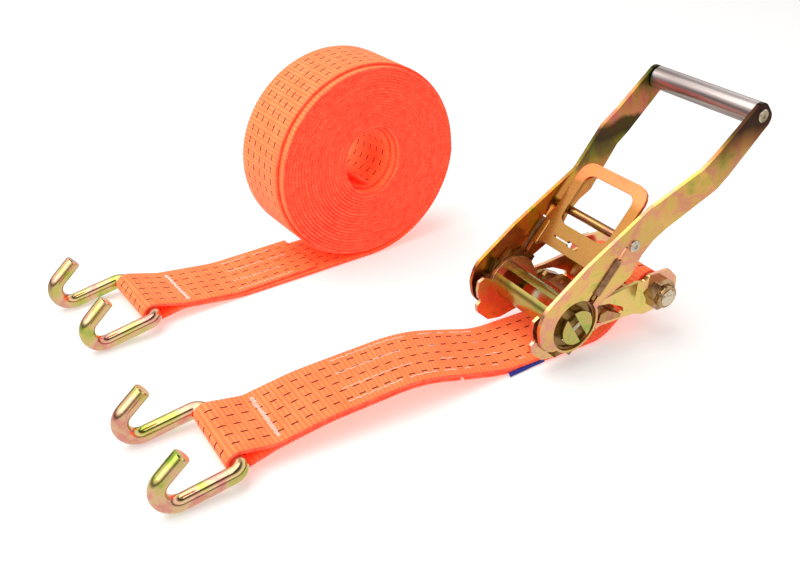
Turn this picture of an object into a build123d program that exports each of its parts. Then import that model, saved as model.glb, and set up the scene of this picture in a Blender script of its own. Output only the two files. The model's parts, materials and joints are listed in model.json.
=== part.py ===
"""Ratchet tie down: a 50 mm ratchet buckle on a short hooked strap, and a long hooked strap in a roll.

Millimetres. +X runs from the mandrel towards the tail bolt, +Y to the far side, +Z up. The origin is
on the underside of the short strap, straight below the mandrel's axis.
"""
from build123d import *
import os
from math import cos, radians, sin

os.makedirs("parts", exist_ok=True)

NEAR, FAR = -1, 1
SIDES = {"near": NEAR, "far": FAR}

# webbing
WEB_W = 50.0
WEB_T = 2.2

# mandrel: two D-shaped bars with the slot for the webbing between them
MANDREL_Z = 31.0
MANDREL_R = 12.0
MANDREL_END = 38.2
SLOT = 6.0
BAR_ANGLE = 33.0
PIN_R = 1.4
PIN_Y = 36.4
PIN_LENGTH = 25.0

# buckle frame
FRAME_IN = 26.5
FRAME_T = 2.5
FRAME_HOLE_R = 12.05
FRAME_ARCH_R = 19.5
JOGGLE = 3.8
JOGGLE_FROM = 60.0
JOGGLE_TO = 66.0
CROSS_PLATE_X = 52.0
CROSS_PLATE_LOW = -10.0
CROSS_PLATE_HIGH = 7.0

# tail bolt, measured from the mandrel
TAIL_X = 74.4
TAIL_RISE = 1.0
BOLT_R = 6.0
BOLT_END = 44.9
HEX_AF = 19.0
HEAD_H = 7.5
NUT_HEX_H = 8.0
NUT_H = 11.0
NUT_COLLAR_R = 8.2
SLEEVE_R = 8.0

# ratchet wheels
TEETH = 12
TIP_R = 24.6
ROOT_R = 19.5
FIRST_TIP = 2.5
STEEP = 6.0
WHEEL_IN = 29.3
WHEEL_OUT = 32.8
COLLAR_R = 17.52
COLLAR_IN_R = 15.9
COLLAR_OUT = 34.3

# handle, drawn along its own line and then raised by HANDLE_ANGLE
HANDLE_ANGLE = 42.0
HANDLE_IN = 33.2
HANDLE_T = 2.6
HANDLE_WIDE_IN = 42.5
FLARE_FROM = 85.0
FLARE_TO = 123.0
HUB_HOLE_R = 17.6
HUB_RING_R = 19.2
GRIP_ALONG = 174.6
GRIP_R = 7.75
GRIP_CAVITY_R = 6.2
GRIP_HALF = 42.2
RIVET_R = 3.0
RIVET_HEAD_R = 4.25
ROD_RADIUS = 62.0
ROD_ANGLE = 46.5
ROD_R = 3.0
ROD_HEAD_R = 4.0
HEAD_T = 1.6
RUNNING = 0.06

# pull pawl, a flat plate in one radial plane of the mandrel
PAWL_ANGLE = 51.5
PAWL_T = 2.6
WINDOW_W = 6.4
WINDOW_END = 50.0
THIN_SLOT_W = 2.8
THIN_SLOT_END = 59.0
SPRING_R = 2.8
SPRING_Y = 35.9
SPRING_FROM = 23.1
SPRING_TO = 49.8

# lock pawl, which slides along its own radial line
LOCK_ANGLE = -10.0
LOCK_T = 2.5
LOCK_FROM = 26.0
LOCK_TO = 46.0
LOCK_HALF = 26.3
LOCK_OUT = 32.8
LOCK_TRAVEL = 3.5
LOCK_GAP = 0.3
LOCK_SPRING_R = 2.5
LOCK_SPRING_Y = 12.0

# double J hooks
HOOK_R = 5.0
HOOK_HALF = 31.0
CROSSBAR_Z = 10.4
EYE_GAP = 0.3
HOOK_BEND = 11.0
HOOK_CORNER = 6.0

# short strap, lying under the buckle and sewn back on itself at both ends
SHORT_HOOK_X = -221.0
SHORT_YAW = -1.3
TAIL_EYE_R = 9.0
TAIL_CLIMB = 40.0
TAIL_REACH = 24.0
EYE_REACH = 23.0

# long strap, with its own frame at the middle of its roll
ROLL_X = -36.6
ROLL_Y = 180.8
ROLL_YAW = 2.9
ROLL_SHIFT = 2.0
ROLL_HALF_W = 76.3
ROLL_TOP = 150.0
ROLL_CORE_R = 20.0
LONG_HOOK_X = -174.0
LONG_CUT_END = -44.0
LONG_UNDER = 12.0


def prism(sketch, low, high):
    """Extrude a sketch of X and Z between two values of Y."""
    return extrude(Plane.XZ.offset(-high) * sketch, amount=high - low)


def slab(sketch, side, inner, outer):
    """Extrude a sketch of X and Z on one side of the buckle."""
    low, high = sorted((side * inner, side * outer))
    return prism(sketch, low, high)


def polygon(points, rounding=0.0):
    face = make_face(Polyline(*points, close=True))
    return fillet(face.vertices(), rounding) if rounding else face


def rounded(face, radius, chosen):
    """Round the corners of a face that chosen picks."""
    return fillet([corner for corner in face.vertices() if chosen(corner)], radius)


def radial(part, angle):
    """Turn a part drawn along +X about the mandrel's axis, and lift it to that axis."""
    return Pos(0, 0, MANDREL_Z) * Rot(0, -angle, 0) * part


def along(distance, angle):
    return (distance * cos(radians(angle)), distance * sin(radians(angle)))


def at_mandrel(sketch):
    return Pos(0, MANDREL_Z) * sketch


def at_tail(sketch):
    return Pos(TAIL_X, MANDREL_Z + TAIL_RISE) * sketch


def bent_plate(outline, run, side, start, end):
    """A sheet that follows run, a list of X and inner-face distance, cut to an outline of X and Z."""
    thick = end - start
    inner = [(x, y * side) for x, y in run]
    outer = [(x, (y + thick) * side) for x, y in reversed(run)]
    strip = extrude(polygon(inner + outer), amount=100, both=True)
    reach = max(y for _, y in run) + thick
    return slab(outline, side, start - 1, reach + 1) & strip


# ---- mandrel ----

def d_shape(half):
    """One half of the split mandrel, on the side half * BAR_ANGLE."""
    block = Rectangle(MANDREL_R, 2 * MANDREL_R, align=(Align.MIN, Align.CENTER))
    turned = Rot(0, 0, BAR_ANGLE) * (Pos(half * SLOT / 2, 0) * (Rot(0, 0, 90 - half * 90) * block))
    return Circle(MANDREL_R) & turned


def mandrel_pin(side):
    pin = Pos(0, side * PIN_Y, 0) * Rot(0, 90, 0) * Cylinder(PIN_R, PIN_LENGTH)
    return radial(pin, BAR_ANGLE)


def mandrel_bar(half):
    bar = prism(at_mandrel(d_shape(half)), -MANDREL_END, MANDREL_END)
    return bar - mandrel_pin(NEAR) - mandrel_pin(FAR)


def wheel_outline(grow=0.0):
    points = []
    for tooth in range(TEETH):
        tip = FIRST_TIP + tooth * 360 / TEETH
        points.append(along(ROOT_R + grow, tip - STEEP))
        points.append(along(TIP_R + grow, tip))
    return polygon(points)


def ratchet_wheel(side):
    sketch = wheel_outline() - d_shape(1) - d_shape(-1)
    return slab(at_mandrel(sketch), side, WHEEL_IN, WHEEL_OUT)


def hub_collar(side):
    ring = Circle(COLLAR_R) - Circle(COLLAR_IN_R)
    return slab(at_mandrel(ring), side, WHEEL_OUT, COLLAR_OUT)


# ---- buckle frame ----

FRAME_OUTLINE = [
    (19, 5.9), (28.5, 6.1), (63.8, 10.1), (66, 15), (85, 14), (93, 6), (94, -3.3), (80, -13.7),
    (68, -14.8), (30, -14.2), (13.4, -20.5), (-8.4, -24.6), (-18.9, -23.1), (-28, -14.6), (-29.3, -9.3),
    (-25.3, -6), (-27.9, -3.7), (-29.1, 2.1), (-28.5, 8.5), (-24, 11), (-17.5, 8),
]
PAWL_WINDOW = [(21.5, 3.5), (36, 1), (49, -5.5), (50.5, -9.5), (47, -11.5), (30, -11.5), (21.5, -10)]


def frame_side(side):
    outline = rounded(polygon(FRAME_OUTLINE), 3.0, lambda v: v.X > JOGGLE_FROM)
    outline = rounded(outline, 1.4, lambda v: v.X < JOGGLE_FROM) + Circle(FRAME_ARCH_R)
    outline -= Circle(FRAME_HOLE_R)
    outline -= polygon(PAWL_WINDOW, 1.2)
    outline = at_mandrel(outline) - at_tail(Circle(BOLT_R))
    run = [(-60, FRAME_IN), (JOGGLE_FROM, FRAME_IN), (JOGGLE_TO, FRAME_IN + JOGGLE), (110, FRAME_IN + JOGGLE)]
    return bent_plate(outline, run, side, FRAME_IN, FRAME_IN + FRAME_T)


def frame_cross_plate():
    low = MANDREL_Z + CROSS_PLATE_LOW
    high = MANDREL_Z + CROSS_PLATE_HIGH
    size = (FRAME_T, 2 * FRAME_IN, high - low)
    plate = Box(*size, align=(Align.MIN, Align.CENTER, Align.MIN))
    return Pos(CROSS_PLATE_X, 0, low) * plate


def tail_face():
    return FRAME_IN + JOGGLE + FRAME_T


def hexagon():
    return RegularPolygon(HEX_AF / 2, 6, major_radius=False)


def tail_bolt():
    face = tail_face()
    shank = prism(at_tail(Circle(BOLT_R)), -BOLT_END, face)
    shank = chamfer(shank.edges().sort_by(Axis.Y)[0], 0.8)
    head = prism(at_tail(hexagon()), face, face + HEAD_H)
    dome = prism(at_tail(Circle(HEX_AF / 2)), face + HEAD_H, face + HEAD_H + 0.4)
    return shank + head + dome


def tail_nut():
    face = tail_face()
    body = slab(at_tail(hexagon()), NEAR, face, face + NUT_HEX_H)
    collar = slab(at_tail(Circle(NUT_COLLAR_R)), NEAR, face + NUT_HEX_H, face + NUT_H)
    collar = chamfer(collar.edges().sort_by(Axis.Y)[0], 0.9)
    return body + collar - slab(at_tail(Circle(BOLT_R)), NEAR, face - 1, face + NUT_H + 1)


def tail_sleeve():
    half = FRAME_IN + JOGGLE
    return prism(at_tail(Circle(SLEEVE_R) - Circle(BOLT_R)), -half, half)


# ---- handle ----

HANDLE_OUTLINE = [
    (23, -6), (47.6, -12.5), (62.5, -7.3), (74, -7), (85, -9.6), (135, -12.5), (172, -11.2), (172, 8.9),
    (138, 9.8), (88, 15), (29.5, 27), (-7.6, 31), (-17.7, 25), (-24.2, 14.2), (-24.2, 6.4), (-20.5, -1),
]


def at_hub_corner(vertex):
    return vertex.X < -5 and vertex.Y > 3


def handle_side(side):
    end = Pos(170, -1.1) * RectangleRounded(23, 20.2, 7)
    outline = rounded(polygon(HANDLE_OUTLINE), 5.0, lambda v: not at_hub_corner(v))
    outline = rounded(outline, 14.0, at_hub_corner) + Circle(HUB_RING_R) + end - Circle(HUB_HOLE_R)
    tilt = Rot(0, 0, PAWL_ANGLE - HANDLE_ANGLE)
    middle = (HUB_HOLE_R - 1 + WINDOW_END) / 2
    window = Pos(middle, 0) * Rectangle(WINDOW_END - HUB_HOLE_R + 1, WINDOW_W)
    thin = Pos((WINDOW_END + THIN_SLOT_END) / 2 - 1, 0) * SlotOverall(THIN_SLOT_END - WINDOW_END + 2, THIN_SLOT_W)
    outline -= tilt * (window + thin)
    outline -= Pos(*along(ROD_RADIUS, ROD_ANGLE - HANDLE_ANGLE)) * Circle(ROD_R)
    outline -= Pos(GRIP_ALONG, 0) * Circle(RIVET_R)
    run = [(-60, HANDLE_IN), (FLARE_FROM, HANDLE_IN), (FLARE_TO, HANDLE_WIDE_IN), (200, HANDLE_WIDE_IN)]
    plate = bent_plate(outline, run, side, HANDLE_IN, HANDLE_IN + HANDLE_T)
    return radial(plate, HANDLE_ANGLE)


def headed_pin(radius, head_r, outer_face, dimple):
    """A pin along Y with a low head on each end, dimpled where its end was upset."""
    pin = prism(Circle(radius), -outer_face, outer_face)
    for side in (NEAR, FAR):
        head = slab(Circle(head_r), side, outer_face, outer_face + HEAD_T)
        rim = head.edges().sort_by(Axis.Y)[0 if side == NEAR else -1]
        head = chamfer(rim, HEAD_T * 0.4)
        head -= slab(Circle(dimple), side, outer_face + HEAD_T * 0.5, outer_face + 2 * HEAD_T)
        pin += head
    return pin


def grip_rivet():
    pin = headed_pin(RIVET_R, RIVET_HEAD_R, HANDLE_WIDE_IN + HANDLE_T, 1.6)
    return radial(Pos(GRIP_ALONG, 0, 0) * pin, HANDLE_ANGLE)


def cross_rod():
    pin = headed_pin(ROD_R, ROD_HEAD_R, HANDLE_IN + HANDLE_T, 1.5)
    return radial(Pos(ROD_RADIUS, 0, 0) * pin, ROD_ANGLE)


def grip_tube():
    """A tube whose two ends are necked down to run on the rivet."""
    tube = prism(Circle(GRIP_R), -GRIP_HALF, GRIP_HALF)
    tube = chamfer(tube.edges().filter_by(GeomType.CIRCLE), 0.6)
    tube -= prism(Circle(RIVET_R + RUNNING), -GRIP_HALF - 1, GRIP_HALF + 1)
    tube -= prism(Circle(GRIP_CAVITY_R), -GRIP_HALF + 5, GRIP_HALF - 5)
    return radial(Pos(GRIP_ALONG, 0, 0) * tube, HANDLE_ANGLE)


# ---- pull pawl ----

PAWL_HALF_OUTLINE = [
    (34, 24.5), (30.2, 29.3), (21.6, 29.3), (21.6, 33.1), (19.6, 33.1), (19.6, 35.8), (23, 35.8), (23, 33.1),
    (24.5, 32.6), (46, 32.6), (52, 31.8), (58, 29.8), (62, 29.5), (86, 29.5), (89.8, 28.7), (93.1, 26.6),
    (95.2, 23.3), (96, 19.5),
]


def pull_pawl():
    mirrored = [(r, -y) for r, y in reversed(PAWL_HALF_OUTLINE)]
    plate = polygon(PAWL_HALF_OUTLINE + mirrored)
    plate -= Pos((51.5 + 88) / 2, 0) * RectangleRounded(88 - 51.5, 43, 6.5)
    plate -= Pos(41.5, 0) * Rot(0, 0, 90) * SlotOverall(10.6, 3.5)
    plate -= Pos(41.5, 11) * Rectangle(0.9, 13)
    body = extrude(plate, amount=PAWL_T / 2, both=True)
    for side in (NEAR, FAR):
        rib = extrude(Pos(40, side * 28) * SlotOverall(19, 4.6), amount=PAWL_T / 2 + 1.4)
        body += fillet(rib.edges().group_by(Axis.Z)[-1], 1.0)
    return radial(body, PAWL_ANGLE)


def pull_pawl_spring(side):
    length = SPRING_TO - SPRING_FROM
    spring = Rot(0, 90, 0) * Cylinder(SPRING_R, length, align=(Align.CENTER, Align.CENTER, Align.MIN))
    return radial(Pos(SPRING_FROM, side * SPRING_Y, 0) * spring, PAWL_ANGLE)


# ---- lock pawl ----

def lock_pawl():
    plate = Pos((LOCK_FROM + LOCK_TO) / 2, 0) * Rectangle(LOCK_TO - LOCK_FROM, 2 * LOCK_HALF)
    for y in (-16, 0, 16):
        plate -= Pos(36, y) * Circle(2.2)
    body = radial(extrude(plate, amount=LOCK_T / 2, both=True), LOCK_ANGLE)
    nose_top = (TIP_R + LOCK_GAP, 2.5)
    nose_foot = (TIP_R + LOCK_GAP, -2.5)
    inner = polygon([(27.8, 2.2), (31, 4.6), (44.5, 0.4), (44.5, -1.9), (31, -3.4), (27.8, -2.6)])
    outer = polygon([nose_top, (30.5, 4.8), (44.5, 0.4), (44.5, -1.9), (31, -3.4), nose_foot])
    wheel_engaged = Pos(LOCK_TRAVEL, 0) * (Rot(0, 0, -LOCK_ANGLE) * wheel_outline(LOCK_GAP))
    outer -= wheel_engaged
    tilt = Rot(0, 0, LOCK_ANGLE)
    for side in (NEAR, FAR):
        body += slab(at_mandrel(tilt * inner), side, LOCK_HALF - 1, WHEEL_IN)
        body += slab(at_mandrel(tilt * outer), side, WHEEL_IN, LOCK_OUT)
    return body


def lock_pawl_spring(side):
    slope = Pos(LOCK_TO, side * LOCK_SPRING_Y, 0) * Rot(0, 90, 0)
    spring = Cylinder(LOCK_SPRING_R, 20, align=(Align.CENTER, Align.CENTER, Align.MIN))
    spring = radial(slope * spring, LOCK_ANGLE)
    stop = Pos(CROSS_PLATE_X, 0, MANDREL_Z) * Box(60, 60, 80, align=(Align.MIN, Align.CENTER, Align.CENTER))
    return spring - stop


# ---- webbing and hooks ----

def eye(radius, reach):
    """One layer of webbing folded round a bar, its two layers meeting at X = reach."""
    outer_r = radius + WEB_T
    outer = Circle(outer_r) + polygon([(0, outer_r), (reach, WEB_T), (reach, -WEB_T), (0, -outer_r)])
    inner = Circle(radius) + polygon([(0, radius), (reach - 2, 0), (0, -radius)])
    return outer - inner


def band(points, radii, thick):
    """A strip of constant thickness along a path with tangent bends."""
    return trace(FilletPolyline(*points, radius=radii), line_width=thick)


def place_short(part):
    """Yaw a piece of the short strap about the tail bolt."""
    return Pos(TAIL_X, 0, 0) * Rot(0, 0, SHORT_YAW) * Pos(-TAIL_X, 0, 0) * part


def place_long(part):
    """Move a piece of the long strap from its own frame into the object's frame."""
    return Pos(ROLL_X, ROLL_Y, 0) * Rot(0, 0, ROLL_YAW) * part


def short_strap():
    tail_z = MANDREL_Z + TAIL_RISE
    back = along(TAIL_REACH, TAIL_CLIMB)
    tail_start = (TAIL_X - back[0], tail_z - back[1])
    drop = tail_start[1] - WEB_T
    floor_end = (tail_start[0] - drop * cos(radians(TAIL_CLIMB)) / sin(radians(TAIL_CLIMB)), WEB_T)
    start = (SHORT_HOOK_X + EYE_REACH, 11.6)
    route = [start, (-165.6, 16.8), (-97.6, 20), (-35.6, WEB_T), floor_end, tail_start]
    section = band(route, [150, 110, 90, 22], 2 * WEB_T)
    section += Pos(SHORT_HOOK_X, CROSSBAR_Z) * (Rot(0, 0, 3.0) * eye(HOOK_R + EYE_GAP, EYE_REACH + 0.2))
    section += at_tail(Rot(0, 0, 180 + TAIL_CLIMB) * eye(TAIL_EYE_R, TAIL_REACH + 0.2))
    return place_short(prism(section, -WEB_W / 2, WEB_W / 2))


def strap_label():
    edge = -WEB_W / 2
    corner = [(-39.5, edge), (-36.5, edge - 2.8), (-13, edge - 0.5), (-13, edge)]
    return place_short(extrude(polygon(corner), amount=0.8))


def long_strap_lead():
    start = (LONG_HOOK_X + EYE_REACH, 8.6)
    section = band([start, (-108, WEB_T), (LONG_CUT_END, WEB_T)], [120], 2 * WEB_T)
    section += Pos(LONG_HOOK_X, CROSSBAR_Z) * (Rot(0, 0, -4.5) * eye(HOOK_R + EYE_GAP, EYE_REACH + 0.2))
    under = LONG_UNDER - LONG_CUT_END
    section += Pos(LONG_CUT_END, 0) * Rectangle(under, WEB_T, align=(Align.MIN, Align.MIN))
    return place_long(prism(section, -WEB_W / 2, WEB_W / 2))


def long_strap_coil():
    half_h = (ROLL_TOP - WEB_T) / 2
    section = Pos(ROLL_SHIFT, WEB_T + half_h) * Ellipse(ROLL_HALF_W, half_h)
    section -= Pos(ROLL_SHIFT + 2, 78.8) * Circle(ROLL_CORE_R)
    return place_long(prism(section, -WEB_W / 2, WEB_W / 2))


def double_hook(crossbar_x):
    """Round bar bent into a crossbar and two J hooks, drawn lying down in front of its strap."""
    profile = [(-31, 35), (-49.2, 18.6), (-41.6, 3.6), (0, CROSSBAR_Z)]
    near = [(crossbar_x + x, -HOOK_HALF, z) for x, z in profile]
    far = [(x, -y, z) for x, y, z in reversed(near)]
    bends = [HOOK_BEND, HOOK_BEND, HOOK_CORNER, HOOK_CORNER, HOOK_BEND, HOOK_BEND]
    path = FilletPolyline(*near, *far, radius=bends)
    start = Plane(origin=path @ 0, z_dir=path % 0)
    rod = sweep(start * Circle(HOOK_R), path=path)
    tips = rod.edges().filter_by(GeomType.CIRCLE).sort_by(Axis.Z)[-2:]
    return chamfer(tips, 0.7)


PARTS = {
    "mandrel_bar_upper": mandrel_bar(1),
    "mandrel_bar_lower": mandrel_bar(-1),
    "frame_cross_plate": frame_cross_plate(),
    "tail_bolt": tail_bolt(),
    "tail_nut": tail_nut(),
    "tail_sleeve": tail_sleeve(),
    "grip_tube": grip_tube(),
    "grip_rivet": grip_rivet(),
    "cross_rod": cross_rod(),
    "pull_pawl": pull_pawl(),
    "lock_pawl": lock_pawl(),
    "short_strap": short_strap(),
    "strap_label": strap_label(),
    "short_hook": place_short(double_hook(SHORT_HOOK_X)),
    "long_strap_lead": long_strap_lead(),
    "long_strap_coil": long_strap_coil(),
    "long_hook": place_long(double_hook(LONG_HOOK_X)),
}
for name, side in SIDES.items():
    PARTS[f"frame_side_{name}"] = frame_side(side)
    PARTS[f"ratchet_wheel_{name}"] = ratchet_wheel(side)
    PARTS[f"hub_collar_{name}"] = hub_collar(side)
    PARTS[f"mandrel_pin_{name}"] = mandrel_pin(side)
    PARTS[f"handle_side_{name}"] = handle_side(side)
    PARTS[f"pull_pawl_spring_{name}"] = pull_pawl_spring(side)
    PARTS[f"lock_pawl_spring_{name}"] = lock_pawl_spring(side)

for name, part in PARTS.items():
    export_step(part, f"parts/{name}.step")
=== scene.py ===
import json
import math
import random

import bmesh
import bpy
from mathutils import Matrix, Vector

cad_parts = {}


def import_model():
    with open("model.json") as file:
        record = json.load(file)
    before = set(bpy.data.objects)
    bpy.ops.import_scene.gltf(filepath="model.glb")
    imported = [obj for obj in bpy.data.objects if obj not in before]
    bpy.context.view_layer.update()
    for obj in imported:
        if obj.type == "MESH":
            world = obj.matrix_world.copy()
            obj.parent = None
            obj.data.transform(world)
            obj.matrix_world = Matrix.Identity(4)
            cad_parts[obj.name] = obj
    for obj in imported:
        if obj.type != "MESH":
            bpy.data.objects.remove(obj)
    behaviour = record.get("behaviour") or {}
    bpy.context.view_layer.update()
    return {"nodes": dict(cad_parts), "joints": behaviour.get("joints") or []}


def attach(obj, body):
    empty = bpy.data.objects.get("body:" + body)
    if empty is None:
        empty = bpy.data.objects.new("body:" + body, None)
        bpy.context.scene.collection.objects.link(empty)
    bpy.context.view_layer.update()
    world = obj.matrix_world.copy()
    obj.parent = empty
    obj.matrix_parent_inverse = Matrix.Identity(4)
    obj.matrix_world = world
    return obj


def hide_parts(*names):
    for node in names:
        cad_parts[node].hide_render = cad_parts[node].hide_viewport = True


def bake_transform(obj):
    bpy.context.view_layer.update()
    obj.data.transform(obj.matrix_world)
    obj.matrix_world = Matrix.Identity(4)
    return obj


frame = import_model()

MM = 0.001
JOINTS = {joint["name"]: joint for joint in frame["joints"]}

# webbing
WEB_W = 50.0
SHORT_T = 2.1
LONG_T = 1.9
RIB_PITCH = 3.0
RIB_DEPTH = 0.16
DASH_PITCH = 9.0
ROW_GAP = 8.2

# places along the short strap, measured from the tail bolt
TAIL_EYE_R = 9.0
TAIL_CLIMB = 40.0
TAIL_REACH = 24.0
HOOK_EYE_R = 5.3
SHORT_ROUTE = [(-272.4, 11.6), (-240.0, 16.8), (-172.0, 20.0), (-110.0, 2.2)]
SHORT_BENDS = [150, 110, 90, 22]
SHORT_TACK = -269.0
SHORT_ROWS_FROM = -224.0
SHORT_ROWS_TO = -92.0
SHORT_ROWS = (-19.0, -7.0, 7.5, 20.5)
LEAN_FROM = -250.0
LEAN_TO = -60.0
LEAN = 0.26

# places along the long strap, measured from its hook's crossbar
LONG_ROUTE = [(23.0, 8.6), (66.0, 2.2), (130.0, 2.2)]
LONG_TACK = 27.6
LONG_CUT_END = 130.0
ROLL_X = 176.4
ROLL_A = 76.5
ROLL_B = 74.6
ROLL_CORE = (2.0, 78.8)
ROLL_CORE_A = 18.5
ROLL_CORE_B = 21.5
ROLL_TURNS = 24
ROLL_STEPS = 90
ROLL_STRAIGHT_STEPS = 20
OUTER_SLIP = 6.0
INNER_SLIP = 7.0

random.seed(7)


def srgb(red, green, blue):
    """Linear colour of an sRGB colour given from 0 to 255."""
    out = []
    for value in (red, green, blue):
        value /= 255
        out.append(value / 12.92 if value <= 0.04045 else ((value + 0.055) / 1.055) ** 2.4)
    return (*out, 1.0)


# ---- materials ----

class Graph:
    """A material's node tree with short calls for its nodes."""

    def __init__(self, name):
        self.material = bpy.data.materials.new(name)
        self.material.use_nodes = True
        self.nodes = self.material.node_tree.nodes
        self.links = self.material.node_tree.links
        self.shader = self.nodes["Principled BSDF"]

    def feed(self, socket, value):
        if isinstance(value, bpy.types.NodeSocket):
            self.links.new(value, socket)
        else:
            socket.default_value = value

    def make(self, kind, inputs=None, **settings):
        node = self.nodes.new(kind)
        for key, value in settings.items():
            setattr(node, key, value)
        for key, value in (inputs or {}).items():
            self.feed(node.inputs[key], value)
        return node

    def math(self, operation, first, second=0.0):
        return self.make("ShaderNodeMath", {0: first, 1: second}, operation=operation).outputs[0]

    def mix(self, factor, first, second):
        node = self.make("ShaderNodeMix", data_type="RGBA")
        self.feed(node.inputs[0], factor)
        self.feed(node.inputs[6], first)
        self.feed(node.inputs[7], second)
        return node.outputs[2]

    def noise(self, vector, scale, detail=2.0, distortion=0.0, roughness=0.5):
        inputs = {"Vector": vector, "Scale": scale, "Detail": detail, "Distortion": distortion,
                  "Roughness": roughness}
        return self.make("ShaderNodeTexNoise", inputs).outputs["Fac"]

    def ramp(self, factor, stops):
        node = self.make("ShaderNodeValToRGB", {"Fac": factor})
        elements = node.color_ramp.elements
        while len(elements) < len(stops):
            elements.new(0.5)
        for element, (place, colour) in zip(elements, stops):
            element.position = place
            element.color = colour
        return node.outputs["Color"]

    def object_point(self, stretch=(1, 1, 1)):
        point = self.make("ShaderNodeTexCoord").outputs["Object"]
        return self.make("ShaderNodeMapping", {"Vector": point, "Scale": stretch}).outputs["Vector"]

    def bump(self, height, strength, distance, normal=None):
        inputs = {"Height": height, "Strength": strength, "Distance": distance}
        if normal is not None:
            inputs["Normal"] = normal
        return self.make("ShaderNodeBump", inputs).outputs["Normal"]

    def set(self, **values):
        for key, value in values.items():
            self.feed(self.shader.inputs[key.replace("_", " ")], value)
        return self.material


def webbing(name):
    """Ribbed orange polyester with five staggered rows of dark dashes along it, painted shade in its rib
    grooves and on its selvedge, and a painted red glow.
    """
    graph = Graph(name)
    uv = graph.make("ShaderNodeUVMap", uv_map="web").outputs["UV"]
    split = graph.make("ShaderNodeSeparateXYZ", {"Vector": uv})
    length = graph.math("MULTIPLY", split.outputs["X"], 1000.0)
    across = graph.math("MULTIPLY", split.outputs["Y"], 1000.0)
    row = graph.math("ROUND", graph.math("DIVIDE", across, ROW_GAP))
    off_row = graph.math("ABSOLUTE", graph.math("SUBTRACT", across, graph.math("MULTIPLY", row, ROW_GAP)))
    on_row = graph.math("LESS_THAN", off_row, 0.6)
    in_rows = graph.math("LESS_THAN", graph.math("ABSOLUTE", row), 2.5)
    stagger = graph.math("MULTIPLY", row, 0.07)
    phase = graph.math("FRACT", graph.math("ADD", graph.math("DIVIDE", length, DASH_PITCH), stagger))
    woven = graph.math("MULTIPLY", on_row, in_rows)
    dash = graph.math("MULTIPLY", graph.math("LESS_THAN", phase, 0.5), woven)
    wave = graph.math("SINE", graph.math("MULTIPLY", length, math.tau / RIB_PITCH))
    groove = graph.math("MULTIPLY", graph.math("SUBTRACT", 1.0, wave), 0.5)
    cloud = graph.noise(uv, 60.0, 3.0)
    base = graph.ramp(cloud, [(0.3, srgb(255, 146, 84)), (0.7, srgb(255, 164, 100))])
    # The rib grooves are darkened with a painted shade colour.
    shaded = graph.mix(graph.math("MULTIPLY", groove, 0.55), base, srgb(250, 96, 48))
    selvedge = graph.math("GREATER_THAN", graph.math("ABSOLUTE", across), WEB_W / 2 - 0.7)
    # The selvedge gets a darker, redder painted shade, standing in for the shade on the roll's side faces.
    wear_and_painted_shade = graph.ramp(graph.noise(uv, 260.0, 3.0), [(0.35, srgb(238, 78, 54)), (0.65, srgb(255, 112, 84))])
    shaded = graph.mix(graph.math("MULTIPLY", selvedge, 0.85), shaded, wear_and_painted_shade)
    inked = graph.mix(graph.math("MULTIPLY", dash, 0.95), shaded, srgb(96, 28, 14))
    fine = graph.math("SINE", graph.math("MULTIPLY", across, math.tau / 0.9))
    twill = graph.math("SINE", graph.math("MULTIPLY", graph.math("ADD", length, across), math.tau / 1.1))
    height = graph.math("ADD", graph.math("MULTIPLY", fine, 0.5), graph.math("MULTIPLY", twill, 0.5))
    height = graph.math("SUBTRACT", height, graph.math("MULTIPLY", dash, 1.6))
    # The emission is a painted red glow; it is cut off on the dashes and dimmed on the selvedge.
    painted_glow_cut = graph.math("MAXIMUM", dash, graph.math("MULTIPLY", selvedge, 0.2))
    painted_glow = graph.mix(painted_glow_cut, srgb(255, 30, 10), (0.0, 0.0, 0.0, 1.0))
    normal = graph.bump(height, 0.35, 0.00012)
    return graph.set(Base_Color=inked, Roughness=0.72, Normal=normal, Emission_Color=painted_glow,
                     Emission_Strength=0.34, Sheen_Weight=0.12, Sheen_Roughness=0.4,
                     Specular_IOR_Level=0.3)


def thread(name, colour):
    graph = Graph(name)
    point = graph.object_point()
    fuzz = graph.noise(point, 2600.0, 2.0)
    shade = graph.ramp(fuzz, [(0.3, tuple(0.82 * c for c in colour[:3]) + (1.0,)), (0.7, colour)])
    # The thread's emission is a painted glow in its own colour, so it reads whiter.
    return graph.set(Base_Color=shade, Roughness=0.8, Normal=graph.bump(fuzz, 0.5, 0.0001), Sheen_Weight=0.3,
                     Emission_Color=colour, Emission_Strength=0.3)


def label_cloth(name):
    graph = Graph(name)
    point = graph.object_point()
    weave = graph.make("ShaderNodeTexWave",
                       {"Vector": point, "Scale": 900.0, "Distortion": 1.0}).outputs["Fac"]
    shade = graph.ramp(weave, [(0.2, srgb(28, 36, 128)), (0.8, srgb(46, 58, 170))])
    return graph.set(Base_Color=shade, Roughness=0.55, Normal=graph.bump(weave, 0.3, 0.0001))


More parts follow.
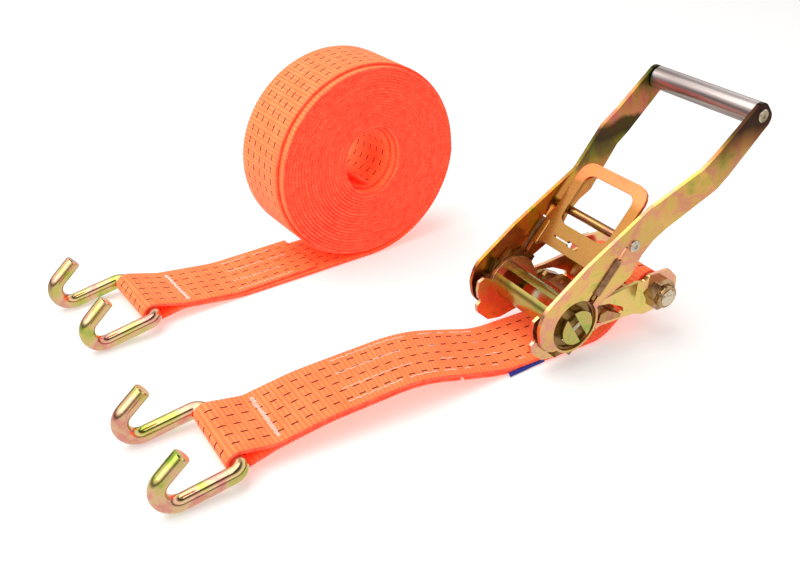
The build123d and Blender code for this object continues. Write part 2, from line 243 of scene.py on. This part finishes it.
def zinc(name, stops, scale, roughness, shift, bevel=0.0004, grain=(1, 1, 1), tips=None, rise=None):
    """Passivated zinc: a metal whose tint drifts between the stops.

    It is plain beyond tips in Y, and rise holds painted reflections: light and dark tints to lay over it from
    its foot to its top.
    """
    graph = Graph(name)
    point = graph.object_point()
    moved = graph.make("ShaderNodeMapping",
                       {"Vector": point, "Location": (shift, shift, 0)}).outputs["Vector"]
    drift = graph.noise(moved, scale, 3.0, 1.6)
    blotch = graph.noise(moved, scale * 4.5, 2.0, 0.6)
    mixed = graph.math("ADD", graph.math("MULTIPLY", drift, 0.72), graph.math("MULTIPLY", blotch, 0.28))
    tint = graph.ramp(mixed, stops)
    # rise lays painted reflection bands over the tint, by height within the part.
    if rise:
        within = graph.make("ShaderNodeTexCoord").outputs["Generated"]
        up = graph.make("ShaderNodeSeparateXYZ", {"Vector": within})
        uneven = graph.math("MULTIPLY", graph.math("SUBTRACT", drift, 0.5), 0.12)
        height = graph.math("ADD", up.outputs["Z"], uneven)
        over = graph.make("ShaderNodeMix", data_type="RGBA", blend_type="MULTIPLY")
        graph.feed(over.inputs[0], 1.0)
        graph.feed(over.inputs[6], tint)
        graph.feed(over.inputs[7], graph.ramp(height, rise))
        tint = over.outputs[2]
    if tips:
        across = graph.make("ShaderNodeSeparateXYZ", {"Vector": point}).outputs["Y"]
        outer = graph.math("GREATER_THAN", graph.math("ABSOLUTE", across), tips * MM)
        tint = graph.mix(outer, tint, srgb(206, 198, 184))
    streak = graph.noise(graph.object_point(grain), 900.0, 2.0)
    rough = graph.math("ADD", roughness, graph.math("MULTIPLY", blotch, 0.12))
    soft = graph.make("ShaderNodeBevel", {"Radius": bevel}, samples=4).outputs["Normal"]
    normal = graph.bump(streak, 0.1, 0.00004, soft)
    return graph.set(Base_Color=tint, Metallic=0.96, Roughness=rough, Normal=normal)


def drawn_steel(name):
    """Steel tube with fine streaks along Y."""
    graph = Graph(name)
    streak = graph.noise(graph.object_point((1, 0.02, 1)), 700.0, 4.0)
    wide = graph.noise(graph.object_point((1, 0.05, 1)), 160.0, 2.0)
    tint = graph.ramp(wide, [(0.3, srgb(132, 120, 118)), (0.5, srgb(184, 174, 172)),
                             (0.62, srgb(206, 196, 194)), (0.75, srgb(150, 136, 132))])
    rough = graph.math("ADD", 0.22, graph.math("MULTIPLY", streak, 0.2))
    normal = graph.bump(streak, 0.25, 0.00005)
    return graph.set(Base_Color=tint, Metallic=0.95, Roughness=rough, Normal=normal)


def spring_wire(name):
    graph = Graph(name)
    cloud = graph.noise(graph.object_point(), 300.0, 3.0)
    tint = graph.ramp(cloud, [(0.35, srgb(148, 106, 74)), (0.65, srgb(202, 158, 118))])
    return graph.set(Base_Color=tint, Metallic=0.45, Roughness=0.36)


GOLD_STOPS = [
    (0.3, srgb(158, 178, 92)), (0.38, srgb(222, 198, 112)), (0.46, srgb(232, 186, 124)),
    (0.54, srgb(230, 160, 142)), (0.6, srgb(226, 186, 116)), (0.7, srgb(164, 176, 84)),
]
BRONZE_STOPS = [
    (0.3, srgb(128, 130, 60)), (0.42, srgb(172, 142, 78)), (0.52, srgb(186, 140, 90)),
    (0.62, srgb(178, 116, 96)), (0.74, srgb(138, 132, 62)),
]
GREEN_STOPS = [
    (0.3, srgb(140, 158, 70)), (0.45, srgb(178, 176, 92)), (0.56, srgb(196, 168, 98)),
    (0.7, srgb(150, 172, 78)),
]
NUT_STOPS = [(0.3, srgb(116, 90, 54)), (0.5, srgb(184, 150, 108)), (0.7, srgb(136, 104, 70))]
# Painted reflections for the handle plates and the pull pawl: light, dark and pink bands by height, standing
# in for what the zinc reflects.
NEAR_PAINTED_REFLECTION = [
    (0.0, srgb(240, 236, 236)), (0.3, srgb(255, 250, 236)), (0.76, srgb(255, 246, 214)),
    (0.84, srgb(190, 166, 130)),
    (0.9, srgb(84, 72, 58)), (1.0, srgb(60, 52, 42)),
]
FAR_PAINTED_REFLECTION = [
    (0.0, srgb(206, 132, 92)), (0.4, srgb(226, 196, 130)), (0.57, srgb(240, 220, 140)),
    (0.63, srgb(150, 168, 96)),
    (0.7, srgb(80, 88, 58)), (0.755, srgb(96, 88, 66)), (0.78, srgb(240, 190, 200)),
    (0.87, srgb(232, 178, 172)),
    (0.93, srgb(128, 146, 90)), (1.0, srgb(74, 84, 56)),
]
PAWL_PAINTED_REFLECTION = [
    (0.0, srgb(190, 176, 146)), (0.38, srgb(196, 178, 146)), (0.8, srgb(188, 158, 124)),
    (0.87, srgb(255, 186, 176)), (1.0, srgb(255, 178, 170)),
]
PAWL_STOPS = [(0.3, srgb(206, 186, 112)), (0.5, srgb(232, 184, 126)), (0.7, srgb(214, 172, 112))]
# The ratchet wheel and hub collar are tinted dark as a painted shade for their recess between the plates.
WHEEL_SHADE_STOPS = [(0.3, srgb(96, 84, 44)), (0.5, srgb(146, 112, 64)), (0.7, srgb(112, 78, 54))]
HOOK_STOPS = [
    (0.32, srgb(124, 166, 56)), (0.41, srgb(196, 190, 100)), (0.5, srgb(224, 186, 144)),
    (0.58, srgb(222, 146, 136)), (0.66, srgb(206, 188, 108)), (0.75, srgb(134, 170, 64)),
]
STEEL_STOPS = [(0.3, srgb(168, 150, 118)), (0.5, srgb(214, 200, 178)), (0.7, srgb(188, 166, 132))]

WEBBING = webbing("webbing_orange")
THREAD = thread("stitch_thread", srgb(255, 236, 222))
LABEL = label_cloth("label_blue")
SHEET = zinc("zinc_sheet_gold", GOLD_STOPS, 22.0, 0.17, 0.31)
NEAR_PLATE = zinc("zinc_near_plate_painted_reflection", GOLD_STOPS, 22.0, 0.17, 0.31, rise=NEAR_PAINTED_REFLECTION)
FAR_PLATE = zinc("zinc_far_plate_painted_reflection", GOLD_STOPS, 22.0, 0.17, 0.6, rise=FAR_PAINTED_REFLECTION)
PAWL = zinc("zinc_pawl_painted_reflection", PAWL_STOPS, 26.0, 0.2, 0.5, rise=PAWL_PAINTED_REFLECTION)
NUT = zinc("zinc_nut", NUT_STOPS, 60.0, 0.14, 0.3)
SHEET_INNER = zinc("zinc_sheet_bronze", BRONZE_STOPS, 26.0, 0.2, 0.77)
SOLID = zinc("zinc_solid", GREEN_STOPS, 40.0, 0.16, 0.12)
WHEEL_SHADED = zinc("zinc_wheel_painted_shade", WHEEL_SHADE_STOPS, 50.0, 0.18, 0.42)
ROD = zinc("zinc_rod", BRONZE_STOPS, 40.0, 0.16, 0.2, tips=35.9)
HOOK = zinc("zinc_hook", HOOK_STOPS, 24.0, 0.09, 0.55)
FASTENER = zinc("fastener_steel", STEEL_STOPS, 60.0, 0.18, 0.9)
GRIP = drawn_steel("grip_steel")
WIRE = spring_wire("spring_wire")

NODE_MATERIALS = {
    "frame_side": SHEET, "frame_cross_plate": SHEET_INNER, "tail_bolt": FASTENER, "tail_nut": NUT,
    "tail_sleeve": SOLID, "mandrel_bar": SOLID, "ratchet_wheel": WHEEL_SHADED, "hub_collar": WHEEL_SHADED,
    "mandrel_pin": FASTENER, "handle_side_near": NEAR_PLATE, "handle_side_far": FAR_PLATE,
    "grip_tube": GRIP, "grip_rivet": FASTENER,
    "cross_rod": ROD, "pull_pawl": PAWL, "lock_pawl": SHEET_INNER, "short_hook": HOOK,
    "long_hook": HOOK, "short_strap": WEBBING, "long_strap": WEBBING, "strap_label": LABEL,
}


def finish_cad_nodes():
    for name, node in frame["nodes"].items():
        key = max((k for k in NODE_MATERIALS if name.startswith(k)), key=len)
        node.data.materials.clear()
        node.data.materials.append(NODE_MATERIALS[key])


# ---- plane curves, as lists of (x, z) in millimetres ----

def rounded(points, radii, step=1.0):
    """The path through points with an arc of the given radius at each inner point."""
    path = [Vector(points[0])]
    for before, corner, after, radius in zip(points, points[1:], points[2:], radii):
        before, corner, after = Vector(before), Vector(corner), Vector(after)
        u, v = (before - corner).normalized(), (after - corner).normalized()
        half = u.angle(v) / 2
        if abs(half - math.pi / 2) < 1e-4:
            continue
        reach = radius / math.tan(half)
        centre = corner + (u + v).normalized() * radius / math.sin(half)
        first, last = corner + u * reach - centre, corner + v * reach - centre
        sweep = first.angle_signed(last)
        count = max(3, int(abs(sweep) * radius / step))
        for i in range(count + 1):
            turned = first.copy()
            turned.rotate(Matrix.Rotation(-sweep * i / count, 2))
            path.append(centre + turned)
    path.append(Vector(points[-1]))
    return path


def spaced(path, step):
    """The same path as points an even step apart."""
    out = [path[0].copy()]
    left = step
    for first, last in zip(path, path[1:]):
        gap = (last - first).length
        place = left
        while place < gap:
            out.append(first.lerp(last, place / gap))
            place += step
        left = place - gap
    return out


def eased(path, passes):
    """The path with its kinks smoothed out; its ends stay."""
    for _ in range(passes):
        inner = [(a + 2 * b + c) / 4 for a, b, c in zip(path, path[1:], path[2:])]
        path = [path[0], *inner, path[-1]]
    return path


def normals(path):
    out = []
    for i in range(len(path)):
        along = (path[min(i + 1, len(path) - 1)] - path[max(i - 1, 0)]).normalized()
        out.append(Vector((-along.y, along.x)))
    return out


def offset(path, distance):
    return [p + n * distance for p, n in zip(path, normals(path))]


def round_bar(start, end, centre, radius, clockwise):
    """The way from start round a bar to end, as a tangent, an arc and a tangent."""
    turn = -1 if clockwise else 1
    arrive, leave = start - centre, end - centre
    first = math.atan2(arrive.y, arrive.x) + turn * math.acos(min(1, radius / arrive.length))
    last = math.atan2(leave.y, leave.x) - turn * math.acos(min(1, radius / leave.length))
    sweep = (last - first) * turn % math.tau
    count = 24
    arc = [first + turn * sweep * i / count for i in range(count + 1)]
    return [centre + radius * Vector((math.cos(a), math.sin(a))) for a in arc]


# ---- webbing ----

class Lay:
    """A strap's own upright frame: X along the strap, Y across it."""

    def __init__(self, joint, cross_joint, lean=lambda x: 0.0):
        self.lean = lean
        place = Vector(JOINTS[joint]["pos_m"]) / MM
        self.origin = Vector((place.x, place.y, 0))
        self.across = Vector(JOINTS[cross_joint]["axis"]).normalized()
        self.along = Vector((self.across.y, -self.across.x, 0))

    def point(self, x, y, z):
        return (self.origin + self.along * (x + self.lean(x) * y) + self.across * y + Vector((0, 0, z))) * MM


def section(thick, columns):
    """Points round the webbing's cut section, as (across, up)."""
    flat = WEB_W / 2 - 0.5
    top = [(-flat + 2 * flat * i / columns, thick / 2) for i in range(columns + 1)]
    side = [(WEB_W / 2 - 0.12, thick * 0.32), (WEB_W / 2, 0.0), (WEB_W / 2 - 0.12, -thick * 0.32)]
    bottom = [(y, -thick / 2) for y, _ in reversed(top)]
    other = [(-y, -z) for y, z in side]
    return top + side + bottom + other


def ribbon(name, lay, path, thick, columns=8, ribbed=lambda i: True, drift=lambda length: 0.0):
    """A length of webbing along a plane path, closed at both cut ends."""
    ring = section(thick, columns)
    lift = normals(path)
    mesh = bmesh.new()
    uv_layer = mesh.loops.layers.uv.new("web")
    rings = []
    lengths = [0.0]
    for first, last in zip(path, path[1:]):
        lengths.append(lengths[-1] + (last - first).length)
    for i, (point, up) in enumerate(zip(path, lift)):
        rib = RIB_DEPTH * math.cos(math.tau * lengths[i] / RIB_PITCH) if ribbed(i) else 0.0
        side_shift = drift(lengths[i])
        verts = []
        for y, z in ring:
            swell = rib * (1 if z > 0 else -1 if z < 0 else 0) * 0.5
            wide = y * (1 + (rib * 0.7 / (WEB_W / 2) if abs(y) > WEB_W / 2 - 0.3 else 0))
            place = point + up * (z + swell)
            verts.append(mesh.verts.new(lay.point(place.x, wide + side_shift, place.y)))
        rings.append(verts)
    count = len(ring)
    for i in range(len(path) - 1):
        for k in range(count):
            n = (k + 1) % count
            face = mesh.faces.new((rings[i][k], rings[i][n], rings[i + 1][n], rings[i + 1][k]))
            face.smooth = True
            for loop, (a, b) in zip(face.loops, ((i, k), (i, n), (i + 1, n), (i + 1, k))):
                loop[uv_layer].uv = (lengths[a] * MM, ring[b][0] * MM)
    for end in (rings[0], rings[-1]):
        face = mesh.faces.new(end)
        for loop in face.loops:
            loop[uv_layer].uv = (0.0, 0.0226)
    bmesh.ops.recalc_face_normals(mesh, faces=mesh.faces)
    return mesh_object(name, mesh, WEBBING), lengths[-1]


def mesh_object(name, mesh, material):
    data = bpy.data.meshes.new(name)
    mesh.to_mesh(data)
    mesh.free()
    data.materials.append(material)
    obj = bpy.data.objects.new(name, data)
    bpy.context.scene.collection.objects.link(obj)
    return obj


def add_tube(mesh, points, radius, sides=6):
    """Adds a closed round tube along a list of points in metres."""
    rings = []
    for i, point in enumerate(points):
        along = (points[min(i + 1, len(points) - 1)] - points[max(i - 1, 0)]).normalized()
        helper = Vector((0, 0, 1)) if abs(along.z) < 0.9 else Vector((1, 0, 0))
        first = along.cross(helper).normalized()
        second = along.cross(first)
        ring = []
        for k in range(sides):
            angle = math.tau * k / sides
            ring.append(mesh.verts.new(point + (first * math.cos(angle) + second * math.sin(angle)) * radius))
        rings.append(ring)
    for lower, upper in zip(rings, rings[1:]):
        for k in range(sides):
            n = (k + 1) % sides
            mesh.faces.new((lower[k], lower[n], upper[n], upper[k])).smooth = True
    mesh.faces.new(list(reversed(rings[0])))
    mesh.faces.new(rings[-1])


def run_length(path):
    return sum((b - a).length for a, b in zip(path, path[1:]))


def height_at(path, x):
    near = min(path, key=lambda p: abs(p.x - x))
    return near.y


def short_lean(x):
    """How far the short strap's far edge runs ahead of its near one, where it slumps off its hump."""
    if not LEAN_FROM < x < LEAN_TO:
        return 0.0
    return LEAN * math.sin(math.pi * (x - LEAN_FROM) / (LEAN_TO - LEAN_FROM)) ** 2


def short_strap():
    """The doubled strap: one band round the hook's crossbar and the tail bolt's sleeve."""
    lay = Lay("buckle_swing", "short_hook_swing", short_lean)
    tail = Vector((0.0, JOINTS["buckle_swing"]["pos_m"][2] / MM))
    hook_place = Vector(JOINTS["short_hook_swing"]["pos_m"]) / MM
    hook = Vector(((hook_place - lay.origin).dot(lay.along), hook_place.z))
    climb = math.radians(TAIL_CLIMB)
    last = tail - TAIL_REACH * Vector((math.cos(climb), math.sin(climb)))
    foot = (last.x - (last.y - SHORT_ROUTE[-1][1]) / math.tan(climb), SHORT_ROUTE[-1][1])
    middle = spaced(rounded([*SHORT_ROUTE, foot, last], SHORT_BENDS), 0.5)
    half = SHORT_T / 2 + 0.04
    top, bottom = offset(middle, half), offset(middle, -half)
    join = len(middle) // 2
    at_hook = round_bar(bottom[0], top[0], hook, HOOK_EYE_R + SHORT_T / 2, True)
    at_tail = round_bar(top[-1], bottom[-1], tail, TAIL_EYE_R + SHORT_T / 2, True)
    whole = bottom[join - 2::-1] + at_hook + top + at_tail + bottom[:join + 2:-1]
    path = spaced(eased(spaced(whole, 0.6), 14), 0.75)
    strap, length = ribbon("short_webbing", lay, path, SHORT_T)
    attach(strap, "short_strap")
    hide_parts("short_strap")
    stitches = stitching("short_stitches", lay, offset(top, SHORT_T / 2), SHORT_TACK,
                         (SHORT_ROWS_FROM, SHORT_ROWS_TO), SHORT_ROWS)
    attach(stitches, "short_strap")
    return strap, length


def stitching(name, lay, surface, tack, rows, places):
    """White thread: a zigzag tack across the strap, then rows of stitches along it."""
    mesh = bmesh.new()
    span = WEB_W / 2 - 5.0
    for phase in (0, 1):
        zigzag = []
        for i in range(int(2 * span / 1.3) + 1):
            x = tack + (1.15 if (i + phase) % 2 else -1.15) + random.uniform(-0.5, 0.5)
            y = -span + i * 1.3
            zigzag.append(lay.point(x, y, height_at(surface, x) + 0.18 + 0.08 * phase))
        add_tube(mesh, zigzag, 0.24 * MM)
    for row, y in enumerate(places):
        x = rows[0] + 2.0 * row
        while x < rows[1]:
            wear_and_painted_shade = (x - rows[0]) / (rows[1] - rows[0])
            if random.random() > wear_and_painted_shade * 1.1 - 0.25:
                points = []
                for i in range(5):
                    place = x + 4.4 * i / 4
                    rise = 0.1 + 0.16 * math.sin(math.pi * i / 4)
                    z = height_at(surface, place) + rise
                    points.append(lay.point(place, y + 0.3 * math.sin(place), z))
                add_tube(mesh, points, 0.2 * MM)
            x += 5.0
    return mesh_object(name, mesh, THREAD)


def roll_path(floor_z):
    """The spiral from under the roll to its core, counter-clockwise seen from the near side.

    The end of its last turn has sprung straight, across the core's lower left.
    """
    path = []
    count = ROLL_TURNS * ROLL_STEPS + 1
    for i in range(count + 1):
        share = i / count
        angle = math.tau * i / ROLL_STEPS - math.pi / 2
        a = ROLL_A + (ROLL_CORE_A - ROLL_A) * share
        b = ROLL_B + (ROLL_CORE_B - ROLL_B) * share
        low = floor_z + ROLL_B
        centre = Vector((ROLL_X + ROLL_CORE[0] * share, low + (ROLL_CORE[1] - low) * share))
        path.append(centre + Vector((a * math.cos(angle), b * math.sin(angle))))
    first = count - ROLL_STRAIGHT_STEPS
    for i in range(first, count + 1):
        path[i] = path[first].lerp(path[count], (i - first) / (count - first))
    return path


def long_strap():
    """The rolled strap: from its cut end round the hook, back under the roll and in to the core."""
    lay = Lay("long_hook_swing", "long_hook_swing")
    hook = Vector((0.0, JOINTS["long_hook_swing"]["pos_m"][2] / MM))
    middle = spaced(rounded(LONG_ROUTE, [120]), 0.5)
    half = LONG_T / 2 + 0.04
    top, bottom = offset(middle, half), offset(middle, -half)
    at_hook = round_bar(top[0], bottom[0], hook, HOOK_EYE_R + LONG_T / 2, False)
    roll = roll_path(bottom[-1].y)
    near = eased(spaced(top[::-1] + at_hook + bottom + roll[:100], 0.6), 14)
    near = spaced(near, 0.75)
    roll_in = spaced(roll[99:], 3.0)
    path = near + roll_in[2:]
    fine = len(near)
    wander = [random.uniform(-0.5, 0.5) for _ in range(ROLL_TURNS + 4)]
    turn_length = math.pi * (ROLL_A + ROLL_B)
    start = run_length(near) - run_length(roll[:100])
    total = run_length(path)

    def drift(length):
        if length < LONG_CUT_END:
            return 3.0 * (1 - length / LONG_CUT_END)
        gone = length - start
        if gone < 0:
            return 0.0
        turn = gone / 300
        index = min(int(turn), len(wander) - 2)
        blend = min(turn - index, 1.0)
        aside = (wander[index] * (1 - blend) + wander[index + 1] * blend) * min(1.0, turn)
        place = (gone / turn_length - 0.24) / 0.86
        if 0 < place < 1:
            aside += OUTER_SLIP * math.sin(math.pi * place) ** 0.6
        return aside + INNER_SLIP * min(1.0, max(0.0, (length - total + 300) / 150))

    strap, length = ribbon("long_webbing", lay, path, LONG_T, 8, lambda i: i < fine, drift)
    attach(strap, "long_strap")
    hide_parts("long_strap_lead", "long_strap_coil")
    stitches = stitching("long_stitches", lay, offset(top, LONG_T / 2), LONG_TACK,
                         (66.0, LONG_CUT_END - 6), SHORT_ROWS)
    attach(stitches, "long_strap")
    return length


def label():
    """A blank blue tab sewn into the short strap's near edge."""
    lay = Lay("buckle_swing", "short_hook_swing", short_lean)
    edge = -WEB_W / 2
    mesh = bmesh.new()
    columns = 14
    grid = []
    for share, z in ((-1, 2.1), (0.04, 2.1), (0.4, 1.7), (0.75, 1.0), (1.0, 0.5)):
        line = []
        for i in range(columns + 1):
            out = 0.4 + 2.4 * (1 - i / columns)
            x = -110.2 + 26.5 * i / columns
            y = edge + 8.6 if share < 0 else edge - out * share
            line.append(mesh.verts.new(lay.point(x, y, z + 0.1 * math.sin(i * 0.9) * max(share, 0))))
        grid.append(line)
    for lower, upper in zip(grid, grid[1:]):
        for i in range(columns):
            mesh.faces.new((lower[i], lower[i + 1], upper[i + 1], upper[i])).smooth = True
    tab = mesh_object("label_tab", mesh, LABEL)
    thicken = tab.modifiers.new("thickness", "SOLIDIFY")
    thicken.thickness = 0.35 * MM
    thicken.offset = 0
    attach(tab, "short_strap")
    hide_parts("strap_label")


# ---- springs ----

def helix(name, start, end, radius, wire, coils):
    """A coil spring with closed ends between two points in metres."""
    axis = (end - start).normalized()
    first = axis.cross(Vector((0, 1, 0))).normalized()
    second = axis.cross(first)
    points = []
    steps = coils * 16
    for i in range(steps + 1):
        angle = math.tau * i / 16
        place = start.lerp(end, i / steps)
        points.append(place + (first * math.cos(angle) + second * math.sin(angle)) * radius)
    mesh = bmesh.new()
    add_tube(mesh, points, wire, 8)
    return mesh_object(name, mesh, WIRE)


def springs():
    mandrel = Vector(JOINTS["handle_swing"]["pos_m"])
    pull = Vector(JOINTS["pull_pawl_slide"]["axis"]).normalized()
    lock = -Vector(JOINTS["lock_pawl_slide"]["axis"]).normalized()
    for side, sign in (("near", -1), ("far", 1)):
        shift = Vector((0, sign * 35.9 * MM, 0))
        start, end = mandrel + pull * 0.0236 + shift, mandrel + pull * 0.0492 + shift
        spring = helix(f"pull_spring_{side}", start, end, 2.3 * MM, 0.45 * MM, 23)
        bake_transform(spring)
        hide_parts(f"pull_pawl_spring_{side}")
        shift = Vector((0, sign * 12.0 * MM, 0))
        start, end = mandrel + lock * 0.0465 + shift, mandrel + lock * 0.0522 + shift
        spring = helix(f"lock_spring_{side}", start, end, 2.0 * MM, 0.4 * MM, 5)
        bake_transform(spring)
        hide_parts(f"lock_pawl_spring_{side}")


# ---- floor, light and camera ----

def floor():
    data = bpy.data.meshes.new("floor")
    size = 12.0
    corners = [(-size, -size, 0), (size, -size, 0), (size, size, 0), (-size, size, 0)]
    data.from_pydata(corners, [], [(0, 1, 2, 3)])
    obj = bpy.data.objects.new("floor", data)
    bpy.context.scene.collection.objects.link(obj)
    obj.location.z = -0.0002
    data.materials.append(floor_material())


def floor_material():
    """White paper; polished metal sees it as bands of light and shade."""
    graph = Graph("pale_floor")
    point = graph.object_point()
    graph.set(Base_Color=(0.82, 0.82, 0.82, 1), Roughness=0.7, Specular_IOR_Level=0.1,
              Emission_Color=(1, 1, 1, 1), Emission_Strength=0.36)
    split = graph.make("ShaderNodeSeparateXYZ", {"Vector": point})
    sideways = graph.math("MULTIPLY", split.outputs["X"], 0.55)
    away = graph.math("ADD", sideways, graph.math("MULTIPLY", split.outputs["Y"], -0.83))
    wobble = graph.math("MULTIPLY", graph.noise(point, 9.0), 0.05)
    place = graph.math("ADD", graph.math("ADD", away, wobble), 0.375)
    bands = [(0.0, 0.5), (0.12, 1.0), (0.3, 0.95), (0.4, 0.8), (0.48, 1.05), (0.56, 1.0),
             (0.61, 0.75), (0.66, 1.0), (0.72, 0.8), (0.8, 0.6), (0.9, 0.5), (1.0, 0.7)]
    seen = graph.ramp(place, [(at, (value, value * 0.97, value * 0.92, 1)) for at, value in bands])
    glossy = graph.make("ShaderNodeLightPath").outputs["Is Glossy Ray"]
    banded = graph.make("ShaderNodeEmission", {"Color": seen, "Strength": 1.0}).outputs[0]
    mix = graph.make("ShaderNodeMixShader", {0: glossy, 1: graph.shader.outputs[0], 2: banded}).outputs[0]
    graph.links.new(mix, graph.nodes["Material Output"].inputs["Surface"])
    return graph.material


def world():
    """Even white light, with a banded studio seen only in reflections."""
    scene_world = bpy.data.worlds.new("studio")
    bpy.context.scene.world = scene_world
    scene_world.use_nodes = True
    nodes, links = scene_world.node_tree.nodes, scene_world.node_tree.links
    nodes.clear()
    out = nodes.new("ShaderNodeOutputWorld")
    mix = nodes.new("ShaderNodeMixShader")
    path = nodes.new("ShaderNodeLightPath")
    plain, seen = nodes.new("ShaderNodeBackground"), nodes.new("ShaderNodeBackground")
    plain.inputs["Color"].default_value = (1.0, 0.985, 0.97, 1)
    plain.inputs["Strength"].default_value = 0.44
    coord = nodes.new("ShaderNodeTexCoord")
    split = nodes.new("ShaderNodeSeparateXYZ")
    ramp = nodes.new("ShaderNodeValToRGB")
    shades = [(0.0, 0.9), (0.5, 0.9), (0.52, 0.1), (0.6, 0.2), (0.67, 1.25), (0.8, 1.25), (0.86, 0.7),
              (0.91, 0.08), (1.0, 0.05)]
    elements = ramp.color_ramp.elements
    while len(elements) < len(shades):
        elements.new(0.5)
    for element, (place, value) in zip(elements, shades):
        element.position = place
        element.color = (value, value * 0.98, value * 0.95, 1)
    scale = nodes.new("ShaderNodeMath")
    scale.operation = "MULTIPLY_ADD"
    scale.inputs[1].default_value = 0.5
    scale.inputs[2].default_value = 0.5
    links.new(coord.outputs["Generated"], split.inputs["Vector"])
    links.new(split.outputs["Z"], scale.inputs[0])
    links.new(scale.outputs[0], ramp.inputs["Fac"])
    links.new(ramp.outputs["Color"], seen.inputs["Color"])
    links.new(path.outputs["Is Glossy Ray"], mix.inputs[0])
    links.new(plain.outputs[0], mix.inputs[1])
    links.new(seen.outputs[0], mix.inputs[2])
    links.new(mix.outputs[0], out.inputs["Surface"])


def area_light(name, place, target, size, energy, colour=(1, 1, 1)):
    data = bpy.data.lights.new(name, "AREA")
    data.shape = "RECTANGLE"
    data.size, data.size_y = size
    data.energy = energy
    data.color = colour
    obj = bpy.data.objects.new(name, data)
    bpy.context.scene.collection.objects.link(obj)
    obj.location = place
    obj.rotation_euler = (Vector(target) - Vector(place)).to_track_quat("-Z", "Y").to_euler()


def camera():
    """The viewpoint: low, close and to the left, looking down at about thirty degrees."""
    azimuth, elevation, roll = math.radians(-33.51), math.radians(30.5), math.radians(1.02)
    target, distance = Vector((-0.0296, 0.1163, 0)), 0.6824
    right = Vector((math.cos(azimuth), math.sin(azimuth), 0))
    back = Vector((math.sin(azimuth) * math.cos(elevation), -math.cos(azimuth) * math.cos(elevation),
                   math.sin(elevation)))
    up = back.cross(right)
    side = right * math.cos(roll) + up * math.sin(roll)
    head = up * math.cos(roll) - right * math.sin(roll)
    data = bpy.data.cameras.new("camera")
    data.sensor_width = 36
    data.lens = 41.09
    data.shift_x = -0.0029
    data.shift_y = -0.0079
    data.clip_start = 0.01
    data.clip_end = 100
    obj = bpy.data.objects.new("camera", data)
    bpy.context.scene.collection.objects.link(obj)
    basis = Matrix((side, head, back)).transposed().to_4x4()
    basis.translation = target + back * distance
    obj.matrix_world = basis
    bpy.context.scene.camera = obj


camera()
floor()
world()
area_light("overhead", (-0.5, 0.5, 1.5), (0, 0.1, 0), (1.6, 1.6), 20.0, (1.0, 0.98, 0.95))
area_light("key_left", (-1.1, -0.2, 0.9), (0, 0.1, 0), (0.9, 0.9), 4.0, (1.0, 0.97, 0.93))
bpy.context.scene.view_settings.view_transform = "Standard"

finish_cad_nodes()
short_strap()
long_strap()
label()
springs()
